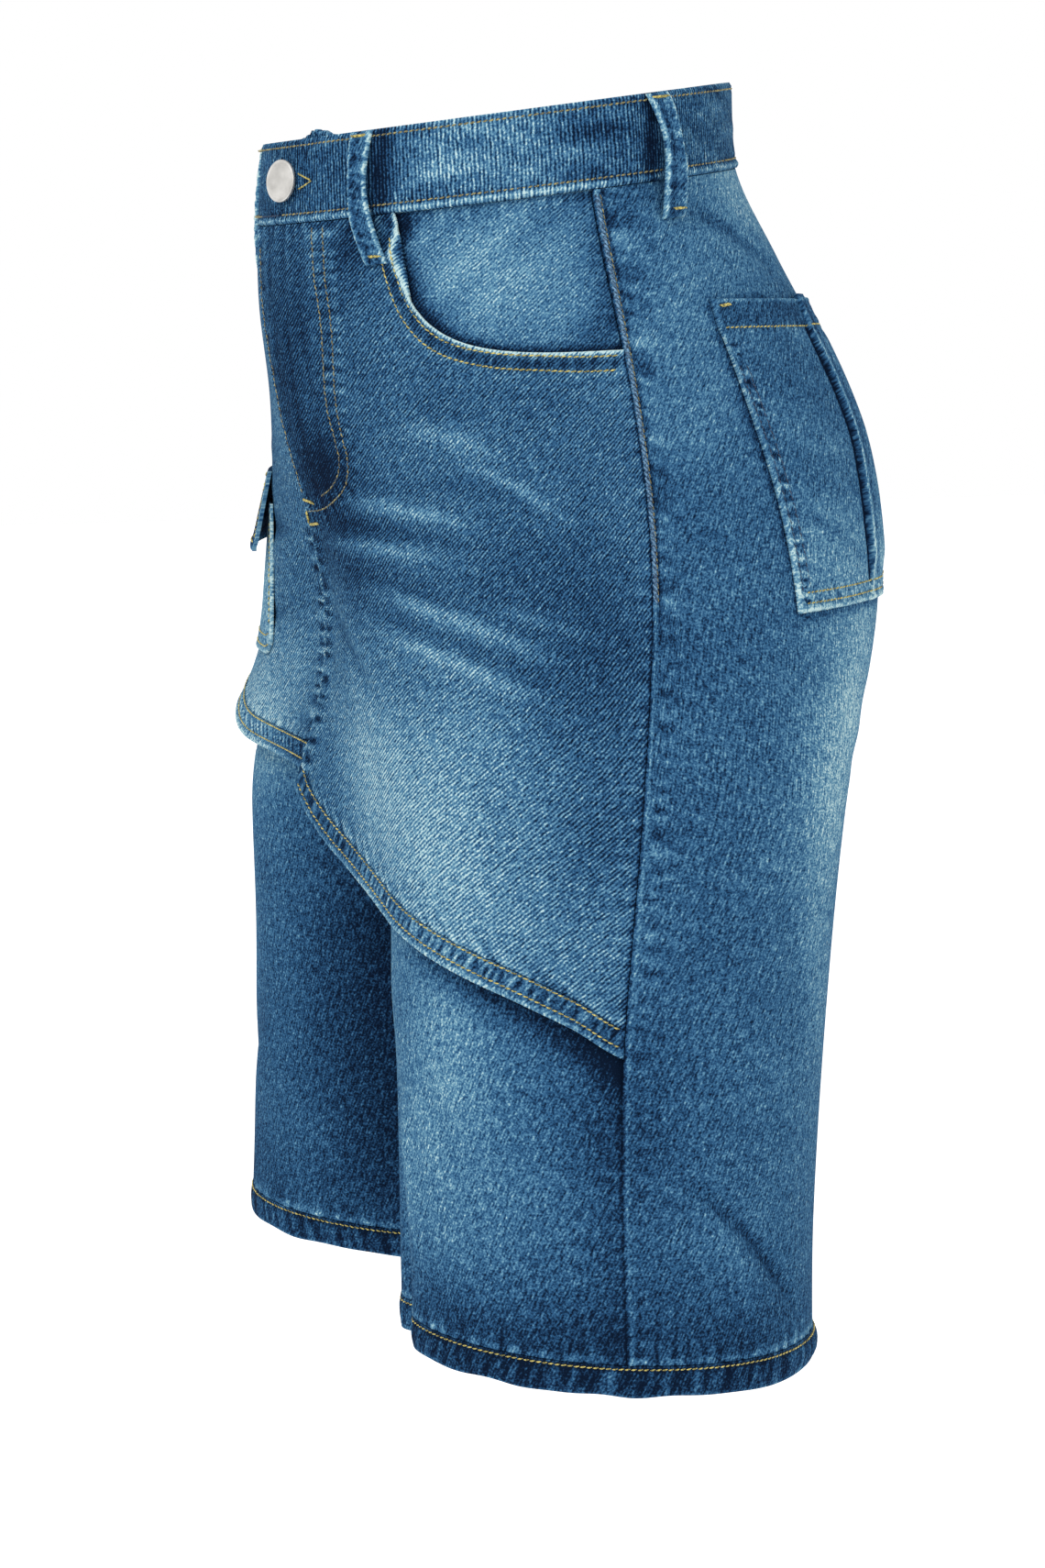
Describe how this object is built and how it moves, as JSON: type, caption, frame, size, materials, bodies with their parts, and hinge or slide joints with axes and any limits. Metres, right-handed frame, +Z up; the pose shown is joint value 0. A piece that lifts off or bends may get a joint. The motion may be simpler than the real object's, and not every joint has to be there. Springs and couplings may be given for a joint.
{
  "type": "skort",
  "caption": "Denim skort held as worn: knee-length shorts with a slanting skirt front, waistband, fly, patch and flap pockets.",
  "frame": {"origin": "centre of the waist opening, halfway up the waistband", "axes": "+Z up along the body, the front faces -Y and the wearer's left is +X"},
  "size_m": [0.4038, 0.2977, 0.6012],
  "materials": {
    "denim": "matte washed denim",
    "denim_dark": "matte dark denim",
    "denim_light": "matte light-washed denim",
    "nickel": "satin nickel"
  },
  "bodies": {
    "root": {"waistband": "denim_dark", "skirt_front_left": "denim", "skirt_front_right": "denim", "skirt_hem_left": "denim_dark", "skirt_hem_right": "denim_dark", "pocket_facing_left": "denim_light", "pocket_facing_right": "denim_light", "shorts_front_left": "denim_dark", "shorts_front_right": "denim_dark", "shorts_back_left": "denim", "shorts_back_right": "denim", "leg_hem_left": "denim_dark", "leg_hem_right": "denim_dark", "back_pocket_left": "denim_light", "back_pocket_right": "denim_light", "cargo_pocket": "denim_light", "cargo_flap": "denim", "belt_loop_front_left": "denim_dark", "belt_loop_front_right": "denim_dark", "belt_loop_side_left": "denim_dark", "belt_loop_side_right": "denim_dark", "belt_loop_back": "denim_dark", "button": "nickel"}
  },
  "joints": []
}
